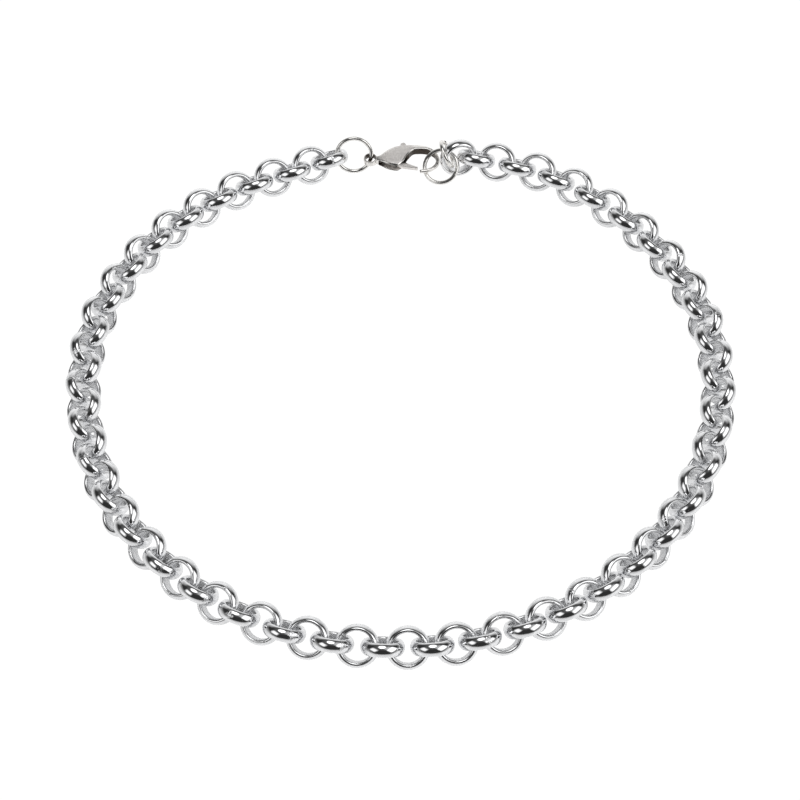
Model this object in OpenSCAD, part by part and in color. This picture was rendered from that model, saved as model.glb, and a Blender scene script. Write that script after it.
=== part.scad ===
// Rolo chain necklace laid in a loop and closed at the back by a lobster clasp.
// Millimetres. X runs to the right, Y away towards the clasp, Z up from the surface it lies on.

/* [Rolo link] */
// Outer diameter of one link
link_outer_d = 9; // [8.5:0.1:10]
// Thickness of the link's metal, measured towards its centre
link_thickness = 1.3; // [1:0.05:1.4]
// Width of the link's metal, measured along its axis
link_width = 3.4; // [2.8:0.1:3.6]
// Angle to the surface of the links that lean to the inside of the loop
inward_lean = 41; // [39:0.5:43]
// Angle to the surface of the links that lean to the outside of the loop
outward_lean = 47; // [45:0.5:49]
// Share of the play between pushed together and pulled taut that the links lie apart
link_spread = 0.42; // [0.35:0.01:0.6]

/* [Jump rings] */
// Outer diameter of the ring at the clasp's eye
eye_ring_outer_d = 9; // [8.8:0.1:9.4]
// Outer diameter of the ring in the clasp's hook
hook_ring_outer_d = 8.7; // [8.6:0.1:9]
// Wire diameter of these two rings
ring_wire_d = 0.95; // [0.75:0.05:1]
// Outer diameter of the small ring on the chain's end
end_ring_outer_d = 7; // [6.8:0.1:7.2]
// Wire diameter of the small ring
end_ring_wire_d = 0.9; // [0.7:0.05:0.95]
// Gap between a ring's cut ends
ring_cut_gap = 0.06; // [0.04:0.01:0.2]

/* [Lobster clasp body] */
// Length from the eye's outside to the end of the hook
clasp_length = 17.7; // [17:0.1:18.5]
// Width from the back edge to the hook's tip
clasp_width = 8; // [7.6:0.1:8.4]
// Thickness at the fullest part
clasp_thickness = 2.9; // [2.7:0.1:3.1]
// Radius of the domed faces across the body
dome_r = 18; // [15:0.5:24]
// Thickness where the hook leaves the body
hook_root_thickness = 2.3; // [2:0.1:2.4]
// Thickness at the hook's tip
hook_tip_thickness = 0.8; // [0.7:0.05:1]
// Outer diameter of the eye
eye_outer_d = 3.2; // [3:0.1:3.4]
// Diameter of the eye's hole
eye_hole_d = 2.3; // [2.1:0.1:2.4]
// Height of the eye along its hole
eye_height = 1.5; // [1.2:0.1:1.7]

/* [Clasp lever] */
// Thickness of the gate that closes the hook
gate_thickness = 1; // [0.8:0.05:1.1]
// Gap between the gate's end and the hook's tip
gate_gap = 0.4; // [0.2:0.05:0.6]
// Thickness of the arm with the thumb nub
arm_thickness = 0.9; // [0.7:0.05:1]
// Width of the arm
arm_width = 0.9; // [0.8:0.05:1.1]
// Diameter of the arm's round end, the thumb nub
nub_d = 1.3; // [1.1:0.05:1.5]
// Diameter of the lever's hub
hub_d = 2.2; // [2:0.1:2.4]
// How far the nub stands out of the body's back
nub_reach = 1; // [0.8:0.1:1.4]
// How far the lever swings open
lever_swing = 22; // [15:1:24]
// Free space above and below the gate
gate_clearance = 0.25; // [0.15:0.05:0.3]
// Free space around the arm in its slot
arm_clearance = 0.1; // [0.08:0.01:0.2]
// Diameter of the rivet pin that the lever turns on
pin_d = 0.86; // [0.7:0.02:0.9]
// Radial clearance of the pin in its bores
pin_clearance = 0.02; // [0.01:0.01:0.05]

/* [Hidden] */
$fn = 48;
silver = [0.80, 0.81, 0.83];
nickel = [0.74, 0.72, 0.70];
steel = [0.62, 0.62, 0.63];

// Section of a link: a crown whose chord is the flat inside face
link_hole_r = link_outer_d / 2 - link_thickness;
link_crown_r = (pow(link_width / 2, 2) + pow(link_thickness, 2)) / (2 * link_thickness);
link_crown_x = link_outer_d / 2 - link_crown_r;

// Distance between neighbouring links, from touching every second link to pulled taut
link_count = 82;
close_pitch = link_outer_d / 2;
taut_pitch = 2 * sqrt(pow(link_hole_r, 2) - pow(link_width / 2, 2));
link_pitch = close_pitch + link_spread * (taut_pitch - close_pitch);

// Route of the chain's middle, clockwise from the clasp: link number, then x and y in link pitches
route = [
    [0, 2.6601, 14.0168], [5, 7.3665, 12.4002], [10, 11.152, 9.1058], [15, 13.5052, 4.7064],
    [20, 14.0168, -0.3069], [25, 12.6867, -5.1156], [30, 9.9243, -9.0035], [35, 6.0364, -11.7659],
    [40, 1.3301, -13.096], [45, -3.7856, -12.6867], [50, -8.3896, -10.4359],
    [55, -11.8682, -6.6503], [60, -13.7098, -1.9439], [65, -13.8122, 3.1717],
    [70, -11.8682, 7.7757], [75, -8.4919, 11.152], [81, -3.3558, 13.6485]];
route_middle = [0.0299, 0.4189];

// Jump rings: radius of the wire's middle line, lean to the surface and turn about Z
eye_ring_mid_r = (eye_ring_outer_d - ring_wire_d) / 2;
eye_ring_hole_r = eye_ring_outer_d / 2 - ring_wire_d;
hook_ring_mid_r = (hook_ring_outer_d - ring_wire_d) / 2;
hook_ring_hole_r = hook_ring_outer_d / 2 - ring_wire_d;
end_ring_mid_r = (end_ring_outer_d - end_ring_wire_d) / 2;
end_ring_hole_r = end_ring_outer_d / 2 - end_ring_wire_d;
eye_ring_lean = 63.2;
eye_ring_turn = 2.9;
eye_ring_cut_at = 41;
hook_ring_lean = 31.2;
hook_ring_turn = -23.7;
hook_ring_cut_at = 0;
end_ring_lean = 65.3;
end_ring_turn = 98.1;
end_ring_cut_at = 20;
first_link_lean = 70.5;
first_link_turn = 19.5;
first_link_lift = 0.14;

// Play along X that each joint of the fastening leaves, from the last link to link 1
eye_ring_play = 1.08;
clasp_play = 0.155;
hook_ring_play = 3.685;
end_ring_play = 4.48;
first_link_play = 3.17;
second_link_play = 2.31;

// How far each piece of the fastening lies to the back of the one before it
eye_ring_back = 0.97;
clasp_back = -0.48;
hook_ring_back = -2.23;
end_ring_back = 1.54;
first_link_back = -0.01;
second_link_back = 0.57;

// Steps along the fastening
eye_ring_step = [link_hole_r + eye_ring_hole_r - eye_ring_play, eye_ring_back];
clasp_step = [eye_ring_mid_r - clasp_play, clasp_back];
hook_ring_step =
    [clasp_length - eye_outer_d / 2 + hook_ring_mid_r - hook_ring_play, hook_ring_back];
end_ring_step = [hook_ring_hole_r + end_ring_hole_r - end_ring_play, end_ring_back];
first_link_step = [end_ring_hole_r + link_hole_r - first_link_play, first_link_back];
second_link_step = [2 * link_hole_r - second_link_play, second_link_back];
fastening_steps =
    [eye_ring_step, clasp_step, hook_ring_step, end_ring_step, first_link_step, second_link_step];
fastening_length = sum_x(fastening_steps);
clasp_drop = 1.07;
hook_ring_rise = 0.18;
end_ring_rise = 2.46;

// The two ends of the chain part or close up by this much so that the fastening fits between them
ends_gap = route_xy(1)[0] - route_xy(link_count - 1)[0];
ends_spread = fastening_length - ends_gap;

// Places of the fastening's pieces
last_link_at = link_xy(link_count - 1);
eye_ring_at = last_link_at + eye_ring_step;
clasp_at = eye_ring_at + clasp_step;
hook_ring_at = clasp_at + hook_ring_step;
end_ring_at = hook_ring_at + end_ring_step;
first_link_at = end_ring_at + first_link_step;
eye_ring_z = eye_ring_mid_r * sin(eye_ring_lean) + ring_wire_d / 2;
clasp_z = eye_ring_z - clasp_drop;
hook_ring_z = clasp_z + hook_ring_rise;
end_ring_z = hook_ring_z + end_ring_rise;
first_link_z = link_z(first_link_lean) + first_link_lift;

// Clasp outline in shares of its length from the eye's outside and of its width from the middle
back_edge = [
    [0.164, 0.07], [0.215, 0.095], [0.288, 0.25], [0.367, 0.38], [0.446, 0.455], [0.531, 0.49],
    [0.627, 0.5], [0.712, 0.493], [0.802, 0.456], [0.881, 0.37], [0.949, 0.225], [0.992, 0.038],
    [0.992, -0.15], [0.946, -0.325], [0.881, -0.435], [0.814, -0.488], [0.74, -0.506]];
mouth_edge = [
    [0.734, -0.413], [0.814, -0.388], [0.876, -0.337], [0.924, -0.238], [0.949, -0.1],
    [0.946, 0.05], [0.91, 0.187], [0.847, 0.275], [0.78, 0.306], [0.718, 0.306], [0.661, 0.287],
    [0.619, 0.2], [0.579, 0.063], [0.548, -0.07], [0.52, -0.194], [0.483, -0.294],
    [0.441, -0.345], [0.387, -0.331], [0.311, -0.275], [0.246, -0.194], [0.186, -0.113],
    [0.164, -0.07]];
edge_steps = 4;
neck_share = 0.164;
neck_overlap = 0.2972;
dome_middle_y = -0.1 * clasp_width;
neck_fillet_r = 4;
neck_at = 1.05;
neck_half = 0.75;
hook_start = clasp_point([0.672, 0])[0];
hook_root_y = clasp_point([0, 0.31])[1];
hook_tip_y = clasp_point([0, -0.506])[1];
hook_fall = (hook_root_thickness - hook_tip_thickness) / 2 / (hook_root_y - hook_tip_y);
past = 4;

// Lever in its closed place, with the pivot inside the body's belly
pivot = clasp_point([0.4576, -0.075]);
arm_slant = 12.6;
arm_length = (clasp_point([0, 0.5])[1] - pivot[1] + nub_reach) / cos(arm_slant);
gate_end = clasp_point([0.734, -0.35]) - [gate_gap, 0] - pivot;
gate_outer = [[-0.13, -0.4], [0.12, -0.76], [0.45, -0.92], [0.78, -1.02], [0.99, -1.1]];
gate_inner = [[1, -0.9], [0.76, -0.72], [0.45, -0.38], [0.2, 0.02]];
pocket_height = gate_thickness + 2 * gate_clearance;
slot_height = arm_thickness + 2 * arm_clearance;
pocket = [
    [0.195, -0.75], [0.2, -0.05], [0.339, 0.1125], [0.627, 0.1125], [0.689, -0.75]];
bore_d = pin_d + 2 * pin_clearance;
rivet_sink = 0.01;

function sum_x(list, i = 0) = i == len(list) ? 0 : list[i][0] + sum_x(list, i + 1);

// Smooth route through the keys, by cubic steps between them
function key_xy(k) = link_pitch * ([route[k][1], route[k][2]] - route_middle);
function key_slope(k) =
    let(before = max(k - 1, 0), after = min(k + 1, len(route) - 1))
    (key_xy(after) - key_xy(before)) / (route[after][0] - route[before][0]);
function key_before(n) = max([for (k = [0:len(route) - 2]) if (route[k][0] <= n) k]);
function route_xy(n) =
    let(k = key_before(n), step = route[k + 1][0] - route[k][0], u = (n - route[k][0]) / step)
    (2 * pow(u, 3) - 3 * pow(u, 2) + 1) * key_xy(k)
    + (pow(u, 3) - 2 * pow(u, 2) + u) * step * key_slope(k)
    + (3 * pow(u, 2) - 2 * pow(u, 3)) * key_xy(k + 1)
    + (pow(u, 3) - pow(u, 2)) * step * key_slope(k + 1);
function link_xy(n) =
    route_xy(n) + [ends_spread * (0.5 - (n - 1) / (link_count - 2)), 0];
function link_heading(n) =
    let(step = link_xy(min(n + 1, link_count - 1)) - link_xy(n - 1)) atan2(step[1], step[0]);
function link_lean(n) = n % 2 == 1 ? -inward_lean : outward_lean;
function link_z(lean) = link_crown_x * sin(abs(lean)) + link_crown_r;

// A point of the clasp: the body starts inside the eye's wall, whatever the clasp's length
function clasp_point(share) =
    let(root = eye_outer_d / 2 - neck_overlap, reach = clasp_length - eye_outer_d / 2 - root)
    [root + (share[0] - neck_share) / (1 - neck_share) * reach, share[1] * clasp_width];

// Smooth curve through points, passing each of them
function smooth(points) = [
    for (k = [0:len(points) - 2], j = [0:edge_steps - 1])
        let(a = points[max(k - 1, 0)], b = points[k], c = points[k + 1],
            d = points[min(k + 2, len(points) - 1)], u = j / edge_steps)
        b + 0.5 * (u * (c - a) + u * u * (2 * a - 5 * b + 4 * c - d)
            + u * u * u * (3 * b - a - 3 * c + d)),
    points[len(points) - 1]];

module link() {
    rotate_extrude() intersection() {
        translate([link_crown_x, 0]) circle(r = link_crown_r);
        translate([link_hole_r, -link_crown_r]) square([2 * link_thickness, 2 * link_crown_r]);
    }
}

// A ring or link laid with its axis up, then leant and turned in its place
module laid(at, z, lean, turn) {
    translate([at[0], at[1], z]) rotate([lean, 0, turn]) children();
}

module jump_ring(mid_r, wire_d, cut_at) {
    cut = 2 * asin(ring_cut_gap / 2 / mid_r);
    rotate([0, 0, cut_at + cut / 2]) rotate_extrude(angle = 360 - cut)
        translate([mid_r, 0]) circle(d = wire_d);
}

module chain() {
    color(silver) {
        laid(first_link_at, first_link_z, first_link_lean, first_link_turn) link();
        for (n = [1:link_count - 1])
            laid(link_xy(n), link_z(link_lean(n)), link_lean(n), link_heading(n)) link();
    }
}

module eye_ring() {
    color(nickel) laid(eye_ring_at, eye_ring_z, eye_ring_lean, eye_ring_turn)
        jump_ring(eye_ring_mid_r, ring_wire_d, eye_ring_cut_at);
}

module hook_ring() {
    color(nickel) laid(hook_ring_at, hook_ring_z, hook_ring_lean, hook_ring_turn)
        jump_ring(hook_ring_mid_r, ring_wire_d, hook_ring_cut_at);
}

module end_ring() {
    color(nickel) laid(end_ring_at, end_ring_z, end_ring_lean, end_ring_turn)
        jump_ring(end_ring_mid_r, end_ring_wire_d, end_ring_cut_at);
}

module in_clasp() {
    translate([clasp_at[0], clasp_at[1], clasp_z]) children();
}

module slab(height) {
    translate([0, 0, -height / 2]) linear_extrude(height = height) children();
}

// The eye: a short tube with rounded rims
module eye() {
    wall = (eye_outer_d - eye_hole_d) / 2;
    rim = (eye_height - wall) / 2;
    rotate_extrude() translate([(eye_hole_d + wall) / 2, 0]) {
        square([wall, 2 * rim], center = true);
        translate([0, rim]) circle(d = wall);
        translate([0, -rim]) circle(d = wall);
    }
}

// Two crossing cylinders leave the lens between the domed faces
module domes() {
    intersection_for (side = [-1, 1])
        translate([-past, dome_middle_y, side * (dome_r - clasp_thickness / 2)])
            rotate([0, 90, 0]) cylinder(h = clasp_length + 2 * past, r = dome_r, $fn = 240);
}

// Cuts that thin the body on both faces down to the eye
module neck_cuts() {
    for (side = [-1, 1])
        translate([neck_at, 0, side * (neck_fillet_r + neck_half)])
            rotate([90, 0, 0]) cylinder(h = clasp_width, r = neck_fillet_r, center = true, $fn = 96);
}

// Cuts that thin the hook evenly from its root to its tip
module hook_cuts() {
    for (side = [0, 1])
        mirror([0, 0, side]) translate([hook_start, 0, 0]) rotate([90, 0, 90])
            linear_extrude(height = clasp_length) polygon([
                [hook_root_y, hook_root_thickness / 2], [hook_root_y, clasp_thickness],
                [hook_tip_y - past, clasp_thickness],
                [hook_tip_y - past, hook_tip_thickness / 2 - past * hook_fall],
                [hook_tip_y, hook_tip_thickness / 2]]);
}

// The way that the arm sweeps through the back, with its clearance on both sides
module slot_outline() {
    side = nub_d / 2 + 2 * arm_clearance;
    rest = arm_slant;
    open = arm_slant - lever_swing;
    far = arm_length + past;
    polygon([
        pivot + side * [cos(rest), -sin(rest)],
        pivot + side * [cos(rest), -sin(rest)] + far * [sin(rest), cos(rest)],
        pivot - side * [cos(open), -sin(open)] + far * [sin(open), cos(open)],
        pivot - side * [cos(open), -sin(open)]]);
}

module clasp_body() {
    color(nickel) in_clasp() difference() {
        union() {
            intersection() {
                slab(clasp_thickness) polygon(concat(
                    [for (p = smooth(back_edge)) clasp_point(p)],
                    [for (p = smooth(mouth_edge)) clasp_point(p)]));
                domes();
            }
            eye();
        }
        neck_cuts();
        hook_cuts();
        slab(pocket_height) polygon([for (p = pocket) clasp_point(p)]);
        slab(slot_height) slot_outline();
        cylinder(h = 2 * clasp_thickness, d = eye_hole_d, center = true);
        translate(pivot) cylinder(h = 2 * clasp_thickness, d = bore_d, center = true);
    }
}

module clasp_lever() {
    color(steel) in_clasp() translate(pivot) difference() {
        union() {
            slab(gate_thickness) {
                circle(d = hub_d);
                polygon(concat(
                    smooth([for (p = gate_outer) [p[0] * gate_end[0], -p[1] * gate_end[1]]]),
                    smooth([for (p = gate_inner) [p[0] * gate_end[0], -p[1] * gate_end[1]]])));
            }
            rotate([0, 0, -arm_slant]) slab(arm_thickness) {
                translate([-arm_width / 2, 0]) square([arm_width, arm_length - nub_d / 2]);
                translate([0, arm_length - nub_d / 2]) circle(d = nub_d);
            }
        }
        cylinder(h = 2 * clasp_thickness, d = bore_d, center = true);
    }
}

module clasp_pin() {
    color(nickel) in_clasp() translate(pivot)
        cylinder(h = clasp_thickness - 2 * rivet_sink, d = pin_d, center = true);
}

chain();
eye_ring();
hook_ring();
end_ring();
clasp_body();
clasp_lever();
clasp_pin();
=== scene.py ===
"""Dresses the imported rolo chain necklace: half-round links, jump rings and lobster clasp."""

import math

import bmesh
import bpy
import numpy as np
from mathutils import Matrix, Vector


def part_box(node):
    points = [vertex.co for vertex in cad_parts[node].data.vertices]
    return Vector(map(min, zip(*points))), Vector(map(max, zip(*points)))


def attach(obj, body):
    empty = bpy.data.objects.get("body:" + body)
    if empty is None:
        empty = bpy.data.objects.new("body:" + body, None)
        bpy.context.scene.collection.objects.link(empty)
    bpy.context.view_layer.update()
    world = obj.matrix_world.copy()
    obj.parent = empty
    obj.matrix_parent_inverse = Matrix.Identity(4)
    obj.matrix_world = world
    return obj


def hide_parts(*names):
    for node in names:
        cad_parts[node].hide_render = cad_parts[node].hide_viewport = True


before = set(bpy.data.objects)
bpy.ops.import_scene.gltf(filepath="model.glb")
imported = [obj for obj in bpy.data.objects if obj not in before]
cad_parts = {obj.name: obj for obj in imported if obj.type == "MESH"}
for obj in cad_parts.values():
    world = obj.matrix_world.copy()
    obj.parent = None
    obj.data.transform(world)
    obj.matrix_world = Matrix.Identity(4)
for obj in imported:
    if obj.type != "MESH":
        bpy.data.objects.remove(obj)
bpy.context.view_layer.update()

MM = 0.001

# Corners that lie this close together are one
CAD_MERGE = 0.0001 * MM
LINK_MERGE = 0.001 * MM

# How squarely a wire's flat end faces along the wire, as a cosine, and the least area that
# a triangle is taken to have
FLAT_END = 0.99
LEAST_AREA = 1e-30

# A link. The seam's depth is a share of the strip's section. Each rim is rounded in a few steps,
# and the flat inside is cut across
LINK = {
    "Outer Diameter": 9.0 * MM,
    "Strip Thickness": 1.3 * MM,
    "Strip Width": 3.5 * MM,
    "Rim Rounding": 0.52 * MM,
    "Seam Width": 0.08 * MM,
    "Seam Depth": 0.02,
    "Steps Round": 48,
    "Crown Steps": 13,
    "Seed": 11,
}
RIM_STEPS = 4
FLAT_CUTS = 3

# The usual jump ring, and what is different on the hook's ring and on the chain's end ring
RING = {
    "Outer Diameter": 9.0 * MM,
    "Wire Diameter": 0.95 * MM,
    "Cut Gap": 0.06 * MM,
    "Ends Apart": 0.0,
    "Steps Round": 96,
    "Steps About": 24,
}
HOOK_RING = {"Outer Diameter": 8.7 * MM}
END_RING = {
    "Outer Diameter": 7.0 * MM,
    "Wire Diameter": 0.9 * MM,
    "Cut Gap": 0.25 * MM,
    "Ends Apart": 0.3 * MM,
}
CUT_ROUNDING = 0.09 * MM
CUT_STEPS = 2
CUT_ANGLE = 50

# How finely the clasp's castings are skinned over, in millimetres, and in how many passes
# their edges are eased
CASTING_VOXEL, CASTING_PASSES = 0.08, 18
LEVER_VOXEL, LEVER_PASSES = 0.055, 12
PIN_VOXEL, PIN_PASSES = 0.04, 3
MARGIN_PASSES, HOOK_PASSES = 300, 50
HALF_WAY = 0.5

# Plugs that close the plates' bores: how far out and how deep they reach from the clasp's middle
# plane, and their radius as a share of the rivet's diameter
PLUG_TOP, PLUG_DEPTH = 1.44 * MM, 0.66 * MM
PLUG_RADIUS = 0.54
PLUG_SIDES = 32

# Places on the clasp, in millimetres: the eye's middle from the ends of the body's box, half the
# hook's thickness beside the eye's middle and what it loses per millimetre towards the front,
# the mouth's middle from the eye's, and how far behind the rivet the lever's hub lies
EYE_RADIUS, CLASP_HALF_WIDTH = 1.6, 4.0
HOOK_HALF, HOOK_THINNING = 0.865, 0.115
MOUTH_MIDDLE = (12.2, -0.9)
HUB_MIDDLE = 0.1

# Where the clasp's forms and finishes change: each is absent at its first value and full at its
# second. These are millimetres from the eye's middle, and for the hub from the rivet
EYE_TO_BODY = (2.0, 3.0)
BODY_TO_HOOK = (9.0, 10.8)
# From HOLE_WALL to HUB_SIDE, the limits bound the painted shade in the clasp's recesses
HOLE_WALL = (1.5, 1.3)
MOUTH_WALL = (6.5, 7.5)
OPEN_SIDE_FROM, OPEN_SIDE_TO = (2.4, 3.6), (7.4, 6.8)
BACK_WALL_FROM, BACK_WALL_TO = (2.4, 3.0), (9.3, 8.9)
BETWEEN_PLATES = (1.0, 0.8)
HUB_END, HUB_SIDE = (2.4, 1.9), (1.3, 0.9)

# These are a share of the half thickness, a share of a voxel that easing moved a point by, and
# cosines between a face's normal and the way that it is named for
PLATE_EDGE = (0.5, 0.75)
LITTLE_EASED = (0.6, 0.2)
FACE_UP = (0.82, 0.93)
# These four pick the walls that get painted shade
TO_MOUTH = (0.8, 0.95)
TO_HOLE = (0.4, 0.7)
TO_FRONT = (0.4, 0.8)
TO_OTHER_PLATE = (0.3, 0.6)

# Finishes. Haze is what the haziest places add to the roughness
ALUMINIUM = {"colour": (0.885, 0.889, 0.899), "roughness": 0.04, "haze": 0.06}
ALUMINIUM_INSIDE = {"colour": (0.82, 0.824, 0.832), "roughness": 0.24, "haze": 0.1}
NICKEL_WIRE = {"colour": (0.9, 0.885, 0.86), "roughness": 0.1, "haze": 0.08}
NICKEL_EDGE = {"colour": (0.85, 0.83, 0.805), "roughness": 0.1, "haze": 0.08}
NICKEL_SATIN = {"colour": (0.95, 0.92, 0.895), "roughness": 0.58, "haze": 0.08}
# Painted shade: the near-black colour laid where shadow and dark reflections fall in the clasp's
# recesses
PAINTED_SHADE_COLOUR = (0.06, 0.05, 0.042)
SCRATCH_ROUGHNESS = 0.25

# The noise values where haze and hairlines start and where they are full, and how the
# hairlines' noise is turned, in radians, and drawn out
HAZE_SPREAD, HAIR_SPREAD = (0.38, 0.68), (0.64, 0.7)
HAIR_TURNS = ((0.3, 0.9, 0.5), (1.9, -0.4, 1.1))
HAIR_SCALE = (1.0, 0.06, 0.35)

# Depths of the polish's wave, of the pits and of the solder, and the solder's lumps per metre
LINK_WAVE, NICKEL_WAVE = 0.024 * MM, 0.03 * MM
LINK_PITS, CAST_PITS = 0.01 * MM, 0.02 * MM
SOLDER_DEPTH, SOLDER_LUMPS = 0.12 * MM, 3600.0

# The table, which reaches this far each way, in metres
WHITE = (1.0, 1.0, 1.0, 1.0)
TABLE_REACH = 1.5
TABLE_WHITE, TABLE_CLOUD = 0.8, 1.03
CLOUDS_PER_METRE = 3.0
TABLE_GLOW = 0.45
TABLE_SHOWN = 1.05
TABLE_ROUGHNESS, GLOSS_ROUGHNESS = 0.6, 0.15
GLOSS_IOR = 1.5

# The studio. A rise is the sine of a height above the table, and a north the cosine of a turn
# away from the back. Straight up, where there is no turn, the level way is taken to be this long
LEAST_LEVEL = 0.001
ROOM_LEVEL = 0.03
SWEEP_LEVEL, SWEEP_RISE, SWEEP_NORTH = 0.82, (0.5, 0.82), (0.5, 1.0)
OVERHEAD_LEVEL, OVERHEAD_EDGE = 2.0, (0.93, 0.98)
OVERHEAD_WAY = Vector((-0.02, -0.01, 1.0)).normalized()
CEILING_LEVEL, CEILING_RISE = 0.08, (0.7, 0.95)
HORIZON_LEVEL, HORIZON_RISE, HORIZON_NORTH = 0.33, (0.0, 0.3), (-0.8, -0.2)

# Softboxes: strength, and then in degrees the turn from the back, clockwise from above, the
# height, half the width, half the height and the soft edge. One stands on the right, one above
# it and one on the left. Each lights only its own side of the room, with this soft limit
SOFTBOXES = (
    (1.4, 111, 32.5, 25.5, 18.5, 6),
    (0.45, 112, 58, 20, 12, 8),
    (1.15, -121, 33, 18, 15, 8),
)
SOFTBOX_SIDE = (0.0, 0.1)

# The camera, in metres, millimetres and degrees
CAMERA_PLACE = (-0.000146, -0.317147, 0.4258)
CAMERA_TILT = 36.5
CAMERA_LENS, CAMERA_SENSOR = 109.9, 36.0
CAMERA_CLIP = 0.01


# Node helpers


def live(sockets):
    """The sockets that the node's settings leave in use."""
    return [s for s in sockets if s.enabled]


def node(tree, kind, values=(), **settings):
    """A new node. Values go to its inputs in order, or by name where values is a dict."""
    made = tree.nodes.new(kind)
    for name, value in settings.items():
        setattr(made, name, value)
    sockets = live(made.inputs)
    named = values if isinstance(values, dict) else dict(enumerate(values))
    for key, value in named.items():
        if value is None:
            continue
        found = sockets[key] if isinstance(key, int) else next(s for s in sockets if s.name == key)
        if isinstance(value, bpy.types.NodeSocket):
            tree.links.new(value, found)
        else:
            found.default_value = value
    return made


def first(made):
    """The first output that the node's settings leave in use."""
    return live(made.outputs)[0]


def calc(tree, operation, *terms):
    return node(tree, "ShaderNodeMath", terms, operation=operation).outputs[0]


def same(tree, value, wanted):
    """1 where a whole number is the wanted one, and 0 elsewhere."""
    return calc(tree, "COMPARE", value, wanted, 0.5)


def spread(tree, value, low, high, to_low=0.0, to_high=1.0, **settings):
    """Value carried from one range to another, and held at its ends."""
    return first(node(tree, "ShaderNodeMapRange", (value, low, high, to_low, to_high), **settings))


def dot(tree, way, other):
    """The cosine between two directions."""
    made = node(tree, "ShaderNodeVectorMath", (way, tuple(other)), operation="DOT_PRODUCT")
    return made.outputs["Value"]


def stored(tree, geometry, name, value, kind="FLOAT", domain="POINT"):
    """The geometry with a value kept on it as a named attribute."""
    values = {"Geometry": geometry, "Name": name, "Value": value}
    return first(
        node(tree, "GeometryNodeStoreNamedAttribute", values, data_type=kind, domain=domain)
    )


def point_count(tree, curve):
    made = node(tree, "GeometryNodeAttributeDomainSize", {"Geometry": curve}, component="CURVE")
    return made.outputs["Point Count"]


def new_tree(name, kind, inputs, outputs):
    """An empty node group with named sockets, its input sockets by name, and its output node."""
    tree = bpy.data.node_groups.new(name, kind)
    for title, sort, value in inputs:
        socket = tree.interface.new_socket(title, in_out="INPUT", socket_type="NodeSocket" + sort)
        if value is not None:
            socket.default_value = value
    for title, sort in outputs:
        tree.interface.new_socket(title, in_out="OUTPUT", socket_type="NodeSocket" + sort)
    given = {s.name: s for s in tree.nodes.new("NodeGroupInput").outputs if s.name}
    return tree, given, tree.nodes.new("NodeGroupOutput")


def growing_tree(name, base, sizes):
    """A tree that grows metal geometry from base, with an input for each size and the metal."""
    sorts = {int: "Int", float: "Float"}
    inputs = [(title, sorts[type(value)], value) for title, value in sizes.items()]
    inputs = [(base, "Geometry", None), *inputs, ("Metal", "Material", None)]
    return new_tree(name, "GeometryNodeTree", inputs, [("Grown", "Geometry")])


def finish_tree(tree, given, put, geometry):
    """Ends a growing tree: its geometry gets the metal and goes out."""
    dressed = node(
        tree, "GeometryNodeSetMaterial", {"Geometry": geometry, "Material": given["Metal"]}
    )
    tree.links.new(first(dressed), put.inputs[0])


def smoothed(tree, geometry):
    values = {"Geometry": geometry, "Shade Smooth": True}
    return first(node(tree, "GeometryNodeSetShadeSmooth", values))


# Objects


def new_object(name, data):
    """An object in the scene, at the origin."""
    made = bpy.data.objects.new(name, data)
    bpy.context.scene.collection.objects.link(made)
    return made


def settled(piece):
    """Turns what a piece's modifiers show into its plain mesh."""
    bpy.context.view_layer.update()
    shown = piece.evaluated_get(bpy.context.evaluated_depsgraph_get())
    mesh = bpy.data.meshes.new_from_object(shown)
    piece.modifiers.clear()
    piece.data = mesh
    return piece


def grown(name, base, tree, values):
    """An object whose plain mesh is what the tree grows from base."""
    piece = new_object(name, base)
    modifier = piece.modifiers.new("grown", "NODES")
    modifier.node_group = tree
    for item in tree.interface.items_tree:
        if item.in_out == "INPUT" and item.name in values:
            modifier[item.identifier] = values[item.name]
    return settled(piece)


def stand_in(piece, body, node_name):
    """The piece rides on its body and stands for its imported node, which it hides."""
    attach(piece, body)
    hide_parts(node_name)


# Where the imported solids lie


def merged_copy(node_name):
    """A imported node's loose triangles, joined at their corners."""
    form = bmesh.new()
    form.from_mesh(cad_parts[node_name].data)
    bmesh.ops.remove_doubles(form, verts=form.verts, dist=CAD_MERGE)
    return form


def solids(node_name):
    """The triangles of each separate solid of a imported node, in metres."""
    form = merged_copy(node_name)
    solid_of, found = {}, []
    for start in form.verts:
        if start in solid_of:
            continue
        solid_of[start] = len(found)
        found.append([])
        waiting = [start]
        while waiting:
            for edge in waiting.pop().link_edges:
                for vert in edge.verts:
                    if vert not in solid_of:
                        solid_of[vert] = solid_of[start]
                        waiting.append(vert)
    for face in form.faces:
        found[solid_of[face.verts[0]]].append([v.co[:] for v in face.verts])
    form.free()
    return [np.array(triangles) for triangles in found]


def facing_of(triangles):
    """The direction that each triangle faces, as long as twice its area."""
    return np.cross(triangles[:, 1] - triangles[:, 0], triangles[:, 2] - triangles[:, 0])


def lie_of(triangles):
    """The middle and the axis of a ring-shaped solid, from its skin."""
    middles = triangles.mean(axis=1)
    areas = np.linalg.norm(facing_of(triangles), axis=1)
    centre = (middles * areas[:, None]).sum(axis=0) / areas.sum()
    away = middles - centre
    scatter = (away * areas[:, None]).T @ away
    axis = np.linalg.eigh(scatter)[1][:, 0]
    if axis[2] < 0:
        axis = -axis
    return centre, axis


def cut_of(triangles, centre, axis):
    """The direction from a ring's middle to its cut, from the flat ends of its wire."""
    normals = facing_of(triangles)
    areas = np.linalg.norm(normals, axis=1)
    normals = normals / np.maximum(areas, LEAST_AREA)[:, None]
    away = triangles.mean(axis=1) - centre
    away -= np.outer(away @ axis, axis)
    away /= np.linalg.norm(away, axis=1)[:, None]
    along = np.cross(axis, away)
    ends = np.abs((normals * along).sum(axis=1)) > FLAT_END
    cut = (away[ends] * areas[ends][:, None]).sum(axis=0)
    return cut / np.linalg.norm(cut)


# The tree that grows links


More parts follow.
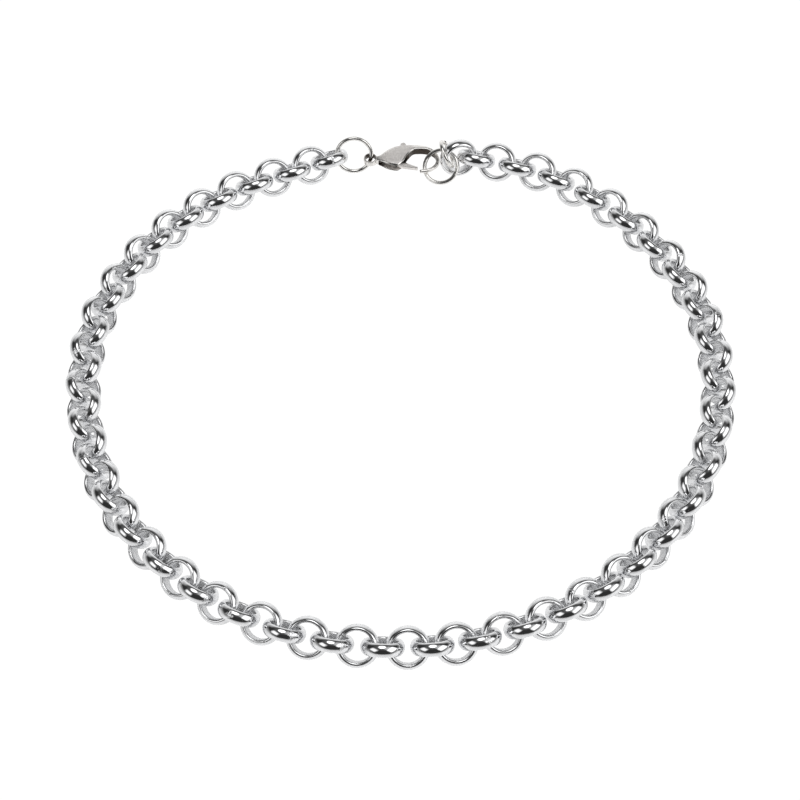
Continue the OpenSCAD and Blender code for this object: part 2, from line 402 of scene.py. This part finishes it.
def strip_section(tree, given):
    """The half-round section of the strip as a closed curve, and its crown's radius. The points
    beside its ends go, so that the rims have room to be rounded."""
    thick, steps = given["Strip Thickness"], given["Crown Steps"]
    half = calc(tree, "MULTIPLY", given["Strip Width"], 0.5)
    squares = calc(tree, "ADD", calc(tree, "POWER", half, 2), calc(tree, "POWER", thick, 2))
    crown = calc(tree, "DIVIDE", squares, calc(tree, "MULTIPLY", thick, 2))
    rim = calc(tree, "ARCTAN2", half, calc(tree, "SUBTRACT", crown, thick))
    arc = node(
        tree,
        "GeometryNodeCurveArc",
        {
            "Resolution": steps,
            "Radius": crown,
            "Start Angle": calc(tree, "MULTIPLY", rim, -1),
            "Sweep Angle": calc(tree, "MULTIPLY", rim, 2),
        },
        mode="RADIUS",
    )
    index = node(tree, "GeometryNodeInputIndex").outputs[0]
    second_last = calc(tree, "SUBTRACT", steps, 2)
    beside = calc(tree, "ADD", same(tree, index, 1), same(tree, index, second_last))
    roomy = node(
        tree,
        "GeometryNodeDeleteGeometry",
        {"Geometry": first(arc), "Selection": beside},
        domain="POINT",
    )
    closed = node(tree, "GeometryNodeSetSplineCyclic", {"Geometry": first(roomy), "Cyclic": True})
    last = calc(tree, "SUBTRACT", steps, 3)
    ends = calc(tree, "ADD", same(tree, index, 0), same(tree, index, last))
    rounded = node(
        tree,
        "GeometryNodeFilletCurve",
        {
            "Curve": first(closed),
            "Count": RIM_STEPS,
            "Radius": calc(tree, "MULTIPLY", ends, given["Rim Rounding"]),
            "Limit Radius": True,
        },
        mode="POLY",
    )
    flat_start = calc(tree, "SUBTRACT", point_count(tree, first(rounded)), 1)
    cuts = calc(tree, "MULTIPLY", same(tree, index, flat_start), FLAT_CUTS)
    section = node(tree, "GeometryNodeSubdivideCurve", {"Curve": first(rounded), "Cuts": cuts})
    return first(section), crown


def row_turn(tree, given, row, outer):
    """How far round the link a row of its grid lies: the first three lie close together at the
    seam, the rest are even, and the last meets the first."""
    half_seam = calc(tree, "DIVIDE", calc(tree, "MULTIPLY", given["Seam Width"], 0.5), outer)
    room = calc(tree, "SUBTRACT", math.tau, calc(tree, "MULTIPLY", half_seam, 2))
    step = calc(tree, "DIVIDE", room, calc(tree, "SUBTRACT", given["Steps Round"], 2))
    near = calc(tree, "SUBTRACT", calc(tree, "MINIMUM", row, 2), 1)
    far = calc(tree, "MAXIMUM", calc(tree, "SUBTRACT", row, 2), 0)
    return calc(
        tree, "ADD", calc(tree, "MULTIPLY", near, half_seam), calc(tree, "MULTIPLY", far, step)
    )


def link_shape(tree, given):
    """One link as a grid rolled into a ring, with a fine closed seam across its strip. Its
    attribute inner is 1 on the flat inside, and seam is 1 at the seam."""
    section, crown = strip_section(tree, given)
    thick = given["Strip Thickness"]
    outer = calc(tree, "MULTIPLY", given["Outer Diameter"], 0.5)
    about = point_count(tree, section)
    columns = calc(tree, "ADD", about, 1)
    grid = node(
        tree,
        "GeometryNodeMeshGrid",
        {
            "Size X": 1.0,
            "Size Y": 1.0,
            "Vertices X": calc(tree, "ADD", given["Steps Round"], 1),
            "Vertices Y": columns,
        },
    )
    index = node(tree, "GeometryNodeInputIndex").outputs[0]
    row = calc(tree, "FLOOR", calc(tree, "DIVIDE", calc(tree, "ADD", index, 0.5), columns))
    column = calc(tree, "SUBTRACT", index, calc(tree, "MULTIPLY", row, columns))
    place = node(tree, "GeometryNodeInputPosition").outputs[0]
    sampled = node(
        tree,
        "GeometryNodeSampleIndex",
        {"Geometry": section, "Value": place, "Index": calc(tree, "FLOORED_MODULO", column, about)},
        data_type="FLOAT_VECTOR",
        domain="POINT",
    )
    apart = node(tree, "ShaderNodeSeparateXYZ", (first(sampled),))
    out = calc(tree, "ADD", apart.outputs[0], calc(tree, "SUBTRACT", outer, crown))

    groove = calc(tree, "MULTIPLY", same(tree, row, 1), given["Seam Depth"])
    scale = calc(tree, "SUBTRACT", 1, groove)
    middle = calc(tree, "SUBTRACT", outer, calc(tree, "MULTIPLY", thick, 0.5))
    from_middle = calc(tree, "MULTIPLY", calc(tree, "SUBTRACT", out, middle), scale)
    radius = calc(tree, "ADD", middle, from_middle)
    turn = row_turn(tree, given, row, outer)
    rolled = node(
        tree,
        "ShaderNodeCombineXYZ",
        (
            calc(tree, "MULTIPLY", radius, calc(tree, "COSINE", turn)),
            calc(tree, "MULTIPLY", radius, calc(tree, "SINE", turn)),
            calc(tree, "MULTIPLY", apart.outputs[1], scale),
        ),
    )

    flat = calc(tree, "SUBTRACT", outer, thick)
    inner = spread(tree, out, flat, calc(tree, "ADD", flat, given["Rim Rounding"]), 1.0, 0.0)
    first_three = calc(tree, "LESS_THAN", row, 2.5)
    seam = calc(tree, "ADD", first_three, same(tree, row, given["Steps Round"]))
    marked = stored(tree, first(grid), "inner", inner)
    marked = stored(tree, marked, "seam", seam)
    marked = stored(tree, marked, "UVMap", grid.outputs["UV Map"], "FLOAT2", "CORNER")
    shaped = node(tree, "GeometryNodeSetPosition", {"Geometry": marked, "Position": first(rolled)})
    joined = node(
        tree, "GeometryNodeMergeByDistance", {"Geometry": first(shaped), "Distance": LINK_MERGE}
    )
    return first(joined)


def chain_tree():
    """Links on points: each turns its axis the way its point says, with its seam anywhere."""
    tree, given, put = growing_tree("Rolo chain", "Places", LINK)
    link = smoothed(tree, link_shape(tree, given))
    axis = node(tree, "GeometryNodeInputNamedAttribute", ("axis",), data_type="FLOAT_VECTOR")
    leaning = node(tree, "FunctionNodeAlignRotationToVector", {"Vector": first(axis)}, axis="Z")
    chance = node(
        tree,
        "FunctionNodeRandomValue",
        {"Min": 0.0, "Max": math.tau, "Seed": given["Seed"]},
        data_type="FLOAT",
    )
    spin = node(
        tree, "FunctionNodeAxisAngleToRotation", {"Axis": (0.0, 0.0, 1.0), "Angle": first(chance)}
    )
    turned = node(
        tree, "FunctionNodeRotateRotation", (first(leaning), first(spin)), rotation_space="LOCAL"
    )
    laid = node(
        tree,
        "GeometryNodeInstanceOnPoints",
        {"Points": given["Places"], "Instance": link, "Rotation": first(turned)},
    )
    real = node(tree, "GeometryNodeRealizeInstances", {"Geometry": first(laid)})
    finish_tree(tree, given, put, first(real))
    return tree


# The tree that grows jump rings


def ring_tree():
    """A jump ring: one turn of round wire, whose cut ends may spring apart."""
    tree, given, put = growing_tree("Jump ring", "Seat", RING)
    wire = given["Wire Diameter"]
    middle = calc(tree, "MULTIPLY", calc(tree, "SUBTRACT", given["Outer Diameter"], wire), 0.5)
    gap = calc(tree, "DIVIDE", given["Cut Gap"], middle)
    arc = node(
        tree,
        "GeometryNodeCurveArc",
        {
            "Resolution": given["Steps Round"],
            "Radius": middle,
            "Start Angle": calc(tree, "MULTIPLY", gap, 0.5),
            "Sweep Angle": calc(tree, "SUBTRACT", math.tau, gap),
        },
        mode="RADIUS",
    )
    along = node(tree, "GeometryNodeSplineParameter").outputs["Factor"]
    from_half = calc(tree, "SUBTRACT", along, 0.5)
    place = node(tree, "GeometryNodeInputPosition").outputs[0]
    apart = node(tree, "ShaderNodeSeparateXYZ", (place,))
    climb = calc(tree, "MULTIPLY", from_half, given["Ends Apart"])
    sprung = node(tree, "ShaderNodeCombineXYZ", (apart.outputs[0], apart.outputs[1], climb))
    line = node(tree, "GeometryNodeSetPosition", {"Geometry": first(arc), "Position": first(sprung)})
    round_wire = node(
        tree,
        "GeometryNodeCurvePrimitiveCircle",
        {"Resolution": given["Steps About"], "Radius": calc(tree, "MULTIPLY", wire, 0.5)},
        mode="RADIUS",
    )
    swept = node(
        tree,
        "GeometryNodeCurveToMesh",
        {"Curve": first(line), "Profile Curve": first(round_wire), "Fill Caps": True},
    )
    finish_tree(tree, given, put, smoothed(tree, first(swept)))
    return tree


# Effects that the metals share


def ripple_group():
    """Soft unevenness that tumbling leaves in a polish, and how hazy it is from place to place."""
    tree, given, put = new_tree(
        "Tumbled polish",
        "ShaderNodeTree",
        [("Wave per Metre", "Float", 700.0), ("Haze per Metre", "Float", 2500.0)],
        [("Height", "Float"), ("Haze", "Float")],
    )
    spot = node(tree, "ShaderNodeTexCoord").outputs["Object"]
    wave = node(
        tree,
        "ShaderNodeTexNoise",
        {"Vector": spot, "Scale": given["Wave per Metre"], "Detail": 2.0, "Roughness": 0.45},
    )
    haze = node(
        tree,
        "ShaderNodeTexNoise",
        {"Vector": spot, "Scale": given["Haze per Metre"], "Detail": 4.0, "Roughness": 0.6},
    )
    tree.links.new(wave.outputs[0], put.inputs["Height"])
    tree.links.new(spread(tree, haze.outputs[0], *HAZE_SPREAD), put.inputs["Haze"])
    return tree


def scratch_group():
    """Fine hairlines from wear, lying in two directions."""
    tree, given, put = new_tree(
        "Hairline scratches",
        "ShaderNodeTree",
        [("Lines per Metre", "Float", 6000.0), ("Share", "Float", 0.3)],
        [("Scratch", "Float")],
    )
    spot = node(tree, "ShaderNodeTexCoord").outputs["Object"]
    lines = []
    for turn in HAIR_TURNS:
        laid = node(
            tree, "ShaderNodeMapping", {"Vector": spot, "Rotation": turn, "Scale": HAIR_SCALE}
        )
        hair = node(
            tree,
            "ShaderNodeTexNoise",
            {"Vector": first(laid), "Scale": given["Lines per Metre"], "Detail": 1.0},
        )
        lines.append(spread(tree, hair.outputs[0], *HAIR_SPREAD))
    most = calc(tree, "MAXIMUM", *lines)
    tree.links.new(calc(tree, "MULTIPLY", most, given["Share"]), put.inputs["Scratch"])
    return tree


def grain_group():
    """The fine pitted skin of a cast and tumbled part."""
    tree, given, put = new_tree(
        "Satin skin",
        "ShaderNodeTree",
        [("Grains per Metre", "Float", 14000.0)],
        [("Height", "Float")],
    )
    spot = node(tree, "ShaderNodeTexCoord").outputs["Object"]
    grain = node(
        tree,
        "ShaderNodeTexNoise",
        {"Vector": spot, "Scale": given["Grains per Metre"], "Detail": 3.0, "Roughness": 0.55},
    )
    tree.links.new(grain.outputs[0], put.inputs["Height"])
    return tree


# Metals


def attribute(tree, name):
    return node(tree, "ShaderNodeAttribute", attribute_name=name).outputs["Fac"]


def opaque(colour):
    return (*colour, 1.0)


def blend(tree, share, low, high):
    """The colour that is low where the share is 0 and high where it is 1."""
    return first(node(tree, "ShaderNodeMix", (share, low, high), data_type="RGBA"))


def bump(tree, depth, height, below=None):
    """The normal of a relief, which lies on top of the relief below it."""
    values = {"Strength": 1.0, "Distance": depth, "Height": height, "Normal": below}
    return first(node(tree, "ShaderNodeBump", values))


def new_material(name):
    material = bpy.data.materials.new(name)
    material.use_nodes = True
    return material, material.node_tree, material.node_tree.nodes["Principled BSDF"]


def new_metal(name):
    material, tree, shader = new_material(name)
    shader.inputs["Metallic"].default_value = 1.0
    return material, tree, shader


def placed(tree, group):
    """The outputs of a shared effect, placed in a material."""
    return node(tree, "ShaderNodeGroup", node_tree=group).outputs


def hazed(tree, finish, haze):
    """The roughness of a finish, from place to place."""
    return calc(tree, "ADD", finish["roughness"], calc(tree, "MULTIPLY", haze, finish["haze"]))


def scratched(tree, rough, scratches):
    """Roughness with the scratches on top."""
    more = calc(tree, "MULTIPLY", placed(tree, scratches)["Scratch"], SCRATCH_ROUGHNESS)
    return calc(tree, "ADD", rough, more)


def two_finishes(tree, share, finish, other, haze, scratches):
    """The colour and roughness of a scratched finish that gives way to another with the share."""
    rough = scratched(tree, hazed(tree, finish, haze), scratches)
    roughness = (share, rough, hazed(tree, other, haze))
    colour = blend(tree, share, opaque(finish["colour"]), opaque(other["colour"]))
    return colour, first(node(tree, "ShaderNodeMix", roughness, data_type="FLOAT"))


def make_link_metal(ripple, scratches, grain):
    """Polished aluminium, duller inside the links, with mottled solder at their seams."""
    material, tree, shader = new_metal("polished aluminium")
    polish = placed(tree, ripple)
    inner = attribute(tree, "inner")
    colour, rough = two_finishes(
        tree, inner, ALUMINIUM, ALUMINIUM_INSIDE, polish["Haze"], scratches
    )
    tree.links.new(colour, shader.inputs["Base Color"])
    tree.links.new(rough, shader.inputs["Roughness"])
    spot = node(tree, "ShaderNodeTexCoord").outputs["Object"]
    lumps = node(
        tree, "ShaderNodeTexNoise", {"Vector": spot, "Scale": SOLDER_LUMPS, "Detail": 2.0}
    )
    solder = calc(tree, "MULTIPLY", lumps.outputs[0], attribute(tree, "seam"))
    pits = calc(tree, "MULTIPLY", placed(tree, grain)["Height"], inner)
    relief = bump(tree, SOLDER_DEPTH, solder)
    relief = bump(tree, LINK_WAVE, polish["Height"], relief)
    relief = bump(tree, LINK_PITS, pits, relief)
    tree.links.new(relief, shader.inputs["Normal"])
    return material


def make_wire_metal(ripple, scratches):
    """Bright nickel on the jump rings' wire."""
    material, tree, shader = new_metal("bright nickel wire")
    polish = placed(tree, ripple)
    rough = scratched(tree, hazed(tree, NICKEL_WIRE, polish["Haze"]), scratches)
    shader.inputs["Base Color"].default_value = opaque(NICKEL_WIRE["colour"])
    tree.links.new(rough, shader.inputs["Roughness"])
    tree.links.new(bump(tree, NICKEL_WAVE, polish["Height"]), shader.inputs["Normal"])
    return material


def make_cast_metal(ripple, scratches, grain):
    """Cast nickel: satin faces, bright edges, and painted shade, near black, in the recesses."""
    material, tree, shader = new_metal("satin cast nickel")
    polish = placed(tree, ripple)
    satin = attribute(tree, "satin")
    colour, rough = two_finishes(
        tree, satin, NICKEL_EDGE, NICKEL_SATIN, polish["Haze"], scratches
    )
    # Painted shade: where the mask is 1 the colour goes to near black
    colour = blend(tree, attribute(tree, "painted_shade"), colour, opaque(PAINTED_SHADE_COLOUR))
    tree.links.new(colour, shader.inputs["Base Color"])
    tree.links.new(rough, shader.inputs["Roughness"])
    pits = calc(tree, "MULTIPLY", placed(tree, grain)["Height"], satin)
    relief = bump(tree, NICKEL_WAVE, polish["Height"])
    relief = bump(tree, CAST_PITS, pits, relief)
    tree.links.new(relief, shader.inputs["Normal"])
    return material


# Chain and jump rings


def make_chain(material):
    """The links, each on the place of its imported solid, in order round the loop."""
    places = [lie_of(triangles) for triangles in solids("chain")]
    places.sort(key=lambda place: math.atan2(place[0][0], place[0][1]))
    base = bpy.data.meshes.new("link places")
    base.from_pydata([centre.tolist() for centre, _ in places], [], [])
    axes = base.attributes.new("axis", "FLOAT_VECTOR", "POINT")
    axes.data.foreach_set("vector", np.array([axis for _, axis in places]).ravel())
    chain = grown("chain_links", base, chain_tree(), {**LINK, "Metal": material})
    stand_in(chain, "necklace", "chain")


def lay(piece, centre, axis, across):
    """Carries a mesh made at the origin, lying flat, to its place."""
    up, out = Vector(axis), Vector(across)
    turn = Matrix((out, up.cross(out), up)).transposed().to_4x4()
    piece.data.transform(Matrix.Translation(Vector(centre)) @ turn)


def make_ring(name, node_name, tree, sizes, material):
    """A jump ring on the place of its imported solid, its cut turned the same way."""
    triangles = solids(node_name)[0]
    centre, axis = lie_of(triangles)
    cut = cut_of(triangles, centre, axis)
    values = {**RING, **sizes, "Metal": material}
    ring = grown(name, bpy.data.meshes.new("ring seat"), tree, values)
    eased_ends = ring.modifiers.new("eased ends", "BEVEL")
    eased_ends.width = CUT_ROUNDING
    eased_ends.segments = CUT_STEPS
    eased_ends.limit_method = "ANGLE"
    eased_ends.angle_limit = math.radians(CUT_ANGLE)
    settled(ring)
    lay(ring, centre, axis, cut)
    stand_in(ring, "necklace", node_name)


# Clasp


def ramp(values, none, full):
    """0 at and beyond the first value, 1 at and beyond the second, and smooth between them."""
    share = np.clip((values - none) / (full - none), 0, 1)
    return share * share * (3 - 2 * share)


def eased(points, edges, passes, share):
    """Points drawn towards the middle of their neighbours, pass after pass."""
    ends = np.concatenate((edges[:, 0], edges[:, 1]))
    others = np.concatenate((edges[:, 1], edges[:, 0]))
    count = np.bincount(ends, minlength=len(points))
    for _ in range(passes):
        sums = [np.bincount(ends, points[others, axis], len(points)) for axis in range(3)]
        points = points + share * (np.stack(sums, axis=1) / count[:, None] - points)
    return points


def close_bores(form):
    """Closes the plates' bores under the rivet's ends, which are peened flush."""
    pin = np.array([v.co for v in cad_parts["clasp_pin"].data.vertices])
    low, high = pin.min(axis=0), pin.max(axis=0)
    middle = (low + high) / 2
    radius = (high[0] - low[0]) * PLUG_RADIUS
    for side in (-1, 1):
        height = middle[2] + side * (PLUG_TOP - PLUG_DEPTH / 2)
        bmesh.ops.create_cone(
            form,
            cap_ends=True,
            segments=PLUG_SIDES,
            radius1=radius,
            radius2=radius,
            depth=PLUG_DEPTH,
            matrix=Matrix.Translation(Vector((middle[0], middle[1], height))),
        )


def skinned(name, form, voxel):
    """A piece in millimetres: one skin of even small faces over the form, ready to be eased."""
    mesh = bpy.data.meshes.new(name)
    form.to_mesh(mesh)
    form.free()
    mesh.transform(Matrix.Scale(1 / MM, 4))
    piece = new_object(name, mesh)
    skin = piece.modifiers.new("skin", "REMESH")
    skin.mode = "VOXEL"
    skin.voxel_size = voxel
    return settled(piece)


def points_and_edges(piece):
    points = np.array([v.co for v in piece.data.vertices])
    edges = np.array([e.vertices for e in piece.data.edges])
    return points, edges


def off_edges(sharp, soft, voxel):
    """1 on open faces, and 0 along the edges, which easing moved."""
    moved = np.linalg.norm(soft - sharp, axis=1) / voxel
    none, full = LITTLE_EASED
    return np.clip((moved - none) / (full - none), 0, 1)


def finish_casting(piece, satin, painted_shade, material):
    """Keeps where the piece is satin and where it gets painted shade, and brings it back to metres.
    """
    for title, values in (("satin", satin), ("painted_shade", painted_shade)):
        mark = piece.data.attributes.new(title, "FLOAT", "POINT")
        mark.data.foreach_set("value", values.astype(np.float32))
    piece.data.transform(Matrix.Scale(MM, 4))
    piece.data.polygons.foreach_set("use_smooth", [True] * len(piece.data.polygons))
    piece.data.materials.clear()
    piece.data.materials.append(material)


def move_points(piece, points):
    """Puts a piece's points where they should be."""
    piece.data.vertices.foreach_set("co", points.ravel())
    piece.data.update()


def body_shade(local, normals, from_eye):
    """Painted shade: 1 in the clasp's recesses, where shadow falls: the mouth's wall, the eye's
    hole, and the pocket between the plates, apart from the plates' insides along its open side."""
    x, z = local[:, 0], local[:, 2]
    to_mouth = np.array(MOUTH_MIDDLE) - local[:, :2]
    facing = (normals[:, :2] * to_mouth).sum(axis=1) / np.linalg.norm(to_mouth, axis=1)
    mouth = ramp(facing, *TO_MOUTH) * ramp(x, *MOUTH_WALL)
    to_middle = -(normals[:, :2] * local[:, :2]).sum(axis=1) / from_eye
    hole = ramp(to_middle, *TO_HOLE) * ramp(from_eye, *HOLE_WALL)
    inwards = -normals[:, 2] * np.sign(z)
    open_side = ramp(x, *OPEN_SIDE_FROM) * ramp(x, *OPEN_SIDE_TO)
    plates = ramp(inwards, *TO_OTHER_PLATE) * (1 - open_side)
    back_wall = ramp(-normals[:, 1], *TO_FRONT) * ramp(np.abs(z), *BETWEEN_PLATES)
    back_wall *= ramp(x, *BACK_WALL_FROM) * ramp(x, *BACK_WALL_TO)
    return np.max((mouth, hole, plates, back_wall), axis=0)


def make_clasp_casting(material):
    """The clasp's body with round margins, satin faces and a hook that thins to its tip."""
    form = merged_copy("clasp_body")
    close_bores(form)
    piece = skinned("clasp_casting", form, CASTING_VOXEL)
    sharp, edges = points_and_edges(piece)
    soft = eased(sharp, edges, CASTING_PASSES, HALF_WAY)

    low, high = sharp.min(axis=0), sharp.max(axis=0)
    eye = np.array((low[0] + EYE_RADIUS, high[1] - CLASP_HALF_WIDTH, (low[2] + high[2]) / 2))
    hook = ramp(soft[:, 0] - eye[0], *BODY_TO_HOOK)
    half = (high[2] - low[2]) / 2
    hook_half = HOOK_HALF + HOOK_THINNING * (soft[:, 1] - eye[1])
    height = np.abs(soft[:, 2] - eye[2]) / (half + (hook_half - half) * hook)
    from_eye = np.linalg.norm((soft - eye)[:, :2], axis=1)
    margin = ramp(height, *PLATE_EDGE) * ramp(from_eye, *EYE_TO_BODY)
    soft = eased(soft, edges, MARGIN_PASSES, (HALF_WAY * margin * (1 - hook))[:, None])
    soft = eased(soft, edges, HOOK_PASSES, (HALF_WAY * margin * hook)[:, None])
    move_points(piece, soft)

    normals = np.array([n.vector for n in piece.data.vertex_normals])
    upward = np.abs(normals[:, 2])
    satin = ramp(upward, *FACE_UP) * (1 - hook) * ramp(from_eye, *EYE_TO_BODY)
    # Painted shade goes on the recesses that body_shade finds
    finish_casting(piece, satin, body_shade(soft - eye, normals, from_eye), material)
    stand_in(piece, "necklace", "clasp_body")


def make_gate_lever(material):
    """The spring lever, with painted shade round its hub, which lies between the plates."""
    piece = skinned("clasp_gate_lever", merged_copy("clasp_lever"), LEVER_VOXEL)
    sharp, edges = points_and_edges(piece)
    soft = eased(sharp, edges, LEVER_PASSES, HALF_WAY)
    move_points(piece, soft)
    low, high = (np.array(corner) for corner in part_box("clasp_pin"))
    beyond = soft - (low + high) / 2 / MM
    # Painted shade round the hub, where the plates shadow it
    painted_shade = ramp(beyond[:, 0], *HUB_END) * ramp(np.abs(beyond[:, 1] - HUB_MIDDLE), *HUB_SIDE)
    finish_casting(piece, off_edges(sharp, soft, LEVER_VOXEL), painted_shade, material)
    stand_in(piece, "lever", "clasp_lever")


def make_rivet(material):
    """The rivet that the lever turns on, between the closed plates."""
    piece = skinned("clasp_rivet", merged_copy("clasp_pin"), PIN_VOXEL)
    sharp, edges = points_and_edges(piece)
    soft = eased(sharp, edges, PIN_PASSES, HALF_WAY)
    move_points(piece, soft)
    finish_casting(piece, off_edges(sharp, soft, PIN_VOXEL), np.zeros(len(soft)), material)
    stand_in(piece, "necklace", "clasp_pin")


# Table, light and camera


def make_table():
    """A white sheet: plain white to the camera, and a lit, slightly glossy sheet in the metal."""
    corners = [(-1, -1), (1, -1), (1, 1), (-1, 1)]
    mesh = bpy.data.meshes.new("table")
    mesh.from_pydata([(x * TABLE_REACH, y * TABLE_REACH, 0) for x, y in corners], [], [range(4)])
    table = new_object("table_top", mesh)
    material, tree, shader = new_material("glossy white sheet")
    cloud = node(tree, "ShaderNodeTexNoise", {"Scale": CLOUDS_PER_METRE, "Detail": 2.0})
    pale, paler = opaque((TABLE_WHITE,) * 3), opaque((TABLE_WHITE * TABLE_CLOUD,) * 3)
    tree.links.new(blend(tree, cloud.outputs[0], pale, paler), shader.inputs["Base Color"])
    shader.inputs["Roughness"].default_value = TABLE_ROUGHNESS
    shader.inputs["Specular IOR Level"].default_value = 0.0
    shader.inputs["Emission Color"].default_value = WHITE
    shader.inputs["Emission Strength"].default_value = TABLE_GLOW
    plain = node(tree, "ShaderNodeEmission", {"Color": WHITE, "Strength": TABLE_SHOWN})
    gloss = node(tree, "ShaderNodeBsdfGlossy", {"Color": WHITE, "Roughness": GLOSS_ROUGHNESS})
    bend = node(tree, "ShaderNodeFresnel", {"IOR": GLOSS_IOR})
    both = node(tree, "ShaderNodeMixShader", (first(bend), shader.outputs[0], first(gloss)))
    seen = node(tree, "ShaderNodeLightPath").outputs["Is Camera Ray"]
    shown = node(tree, "ShaderNodeMixShader", (seen, first(both), first(plain)))
    tree.links.new(first(shown), tree.nodes["Material Output"].inputs["Surface"])
    mesh.materials.append(material)


def softbox(tree, way, turn, height, wide, tall, edge):
    """Where a white box stands in the room: 1 inside it and 0 outside, with a soft edge."""
    turn, height = math.radians(turn), math.radians(height)
    level = math.cos(height)
    middle = (level * math.sin(turn), level * math.cos(turn), math.sin(height))
    across = (math.cos(turn), -math.sin(turn), 0.0)
    upward = Vector(middle).cross(Vector(across))
    ahead = dot(tree, way, middle)
    share = spread(tree, ahead, *SOFTBOX_SIDE)
    for side, half in ((across, wide), (upward, tall)):
        off = calc(tree, "ARCTAN2", calc(tree, "ABSOLUTE", dot(tree, way, side)), ahead)
        low, high = math.radians(half - edge), math.radians(half + edge)
        inside = spread(tree, off, low, high, 1.0, 0.0, interpolation_type="SMOOTHSTEP")
        share = calc(tree, "MULTIPLY", share, inside)
    return share


def make_lights():
    """A small photo studio: a white sweep behind, a round light overhead, boxes to the right and
    left, and a dim room in front, where the camera stands."""
    world = bpy.data.worlds.new("studio")
    bpy.context.scene.world = world
    world.use_nodes = True
    tree = world.node_tree
    way = node(tree, "ShaderNodeTexCoord").outputs["Generated"]
    parts = node(tree, "ShaderNodeSeparateXYZ", (way,)).outputs
    rise = parts[2]
    level = calc(tree, "SQRT", calc(tree, "SUBTRACT", 1.0, calc(tree, "POWER", rise, 2.0)))
    north = calc(tree, "DIVIDE", parts[1], calc(tree, "MAXIMUM", level, LEAST_LEVEL))
    below_top = spread(tree, rise, *SWEEP_RISE, 1.0, 0.0, interpolation_type="SMOOTHSTEP")
    sweep = calc(tree, "MULTIPLY", below_top, spread(tree, north, *SWEEP_NORTH))
    top = dot(tree, way, OVERHEAD_WAY)
    overhead = spread(tree, top, *OVERHEAD_EDGE, interpolation_type="SMOOTHSTEP")
    ceiling = spread(tree, rise, *CEILING_RISE)
    low = spread(tree, rise, *HORIZON_RISE, 1.0, 0.0)
    horizon = calc(tree, "MULTIPLY", low, spread(tree, north, *HORIZON_NORTH))
    lights = [
        (SWEEP_LEVEL, sweep),
        (OVERHEAD_LEVEL, overhead),
        (CEILING_LEVEL, ceiling),
        (HORIZON_LEVEL, horizon),
    ]
    lights += [(strength, softbox(tree, way, *place)) for strength, *place in SOFTBOXES]
    total = ROOM_LEVEL
    for strength, share in lights:
        total = calc(tree, "ADD", total, calc(tree, "MULTIPLY", share, strength))
    tree.links.new(total, tree.nodes["Background"].inputs["Strength"])
    tree.nodes["Background"].inputs["Color"].default_value = WHITE


def make_camera():
    """The photo's view, from about 54 degrees above the table."""
    lens = bpy.data.cameras.new("view")
    lens.lens = CAMERA_LENS
    lens.sensor_width = CAMERA_SENSOR
    lens.clip_start = CAMERA_CLIP
    camera = new_object("view", lens)
    camera.location = CAMERA_PLACE
    camera.rotation_euler = (math.radians(CAMERA_TILT), 0.0, 0.0)
    bpy.context.scene.camera = camera


# The scene

ripple, scratches, grain = ripple_group(), scratch_group(), grain_group()
wire_metal = make_wire_metal(ripple, scratches)
cast_metal = make_cast_metal(ripple, scratches, grain)
make_chain(make_link_metal(ripple, scratches, grain))
rings = ring_tree()
make_ring("eye_jump_ring", "eye_ring", rings, {}, wire_metal)
make_ring("hook_jump_ring", "hook_ring", rings, HOOK_RING, wire_metal)
make_ring("end_jump_ring", "end_ring", rings, END_RING, wire_metal)
make_clasp_casting(cast_metal)
make_gate_lever(cast_metal)
make_rivet(cast_metal)
make_table()
make_lights()
make_camera()
bpy.context.scene.view_settings.view_transform = "Standard"
